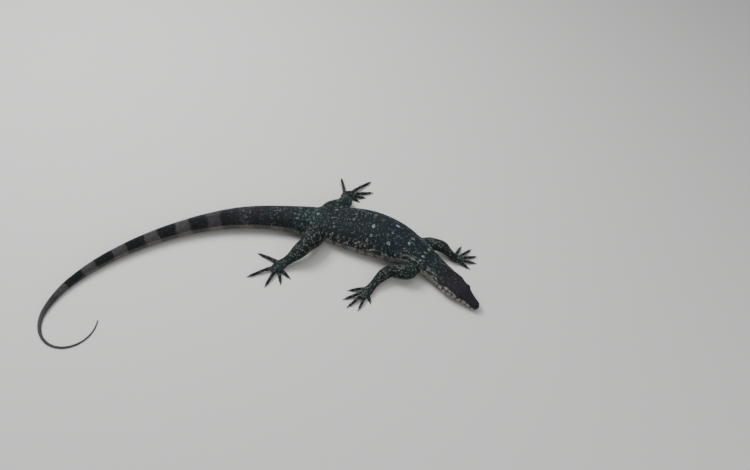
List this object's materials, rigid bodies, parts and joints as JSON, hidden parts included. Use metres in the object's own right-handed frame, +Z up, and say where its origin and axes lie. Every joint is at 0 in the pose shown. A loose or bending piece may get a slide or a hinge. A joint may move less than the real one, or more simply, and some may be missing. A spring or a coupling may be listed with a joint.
{
  "type": "water monitor lizard figure",
  "caption": "Still, life-size water monitor lizard lying flat with its legs spread, head turned aside and a long banded tail that ends in a hooked whip.",
  "frame": {"origin": "on the floor under the middle of the whole figure's box", "axes": "+X towards the head, +Y the lizard's left, +Z up"},
  "size_m": [0.8278, 0.4938, 0.0608],
  "materials": {
    "skin": "fine keeled scales, satin, blackish with pale spots and tail bands",
    "claw": "dark polished horn",
    "eye": "wet, dark brown iris with a round pupil"
  },
  "bodies": {
    "root": {"neck": "skin", "torso": "skin", "tail_base": "skin", "tail_middle": "skin", "tail_rear": "skin", "tail_slender_front": "skin", "tail_slender_rear": "skin", "tail_whip_front": "skin", "tail_whip_middle": "skin", "tail_whip_tip": "skin", "eye_left": "eye", "eye_right": "eye", "head": "skin", "upper_arm_right": "skin", "forearm_right": "skin", "claw_fore_right_1": "claw", "claw_fore_right_2": "claw", "claw_fore_right_3": "claw", "claw_fore_right_4": "claw", "claw_fore_right_5": "claw", "hand_right": "skin", "upper_arm_left": "skin", "forearm_left": "skin", "claw_fore_left_1": "claw", "claw_fore_left_2": "claw", "claw_fore_left_3": "claw", "claw_fore_left_4": "claw", "claw_fore_left_5": "claw", "hand_left": "skin", "thigh_right": "skin", "shin_right": "skin", "claw_hind_right_1": "claw", "claw_hind_right_2": "claw", "claw_hind_right_3": "claw", "claw_hind_right_4": "claw", "claw_hind_right_5": "claw", "foot_right": "skin", "thigh_left": "skin", "shin_left": "skin", "claw_hind_left_1": "claw", "claw_hind_left_2": "claw", "claw_hind_left_3": "claw", "claw_hind_left_4": "claw", "claw_hind_left_5": "claw", "foot_left": "skin"}
  },
  "joints": []
}
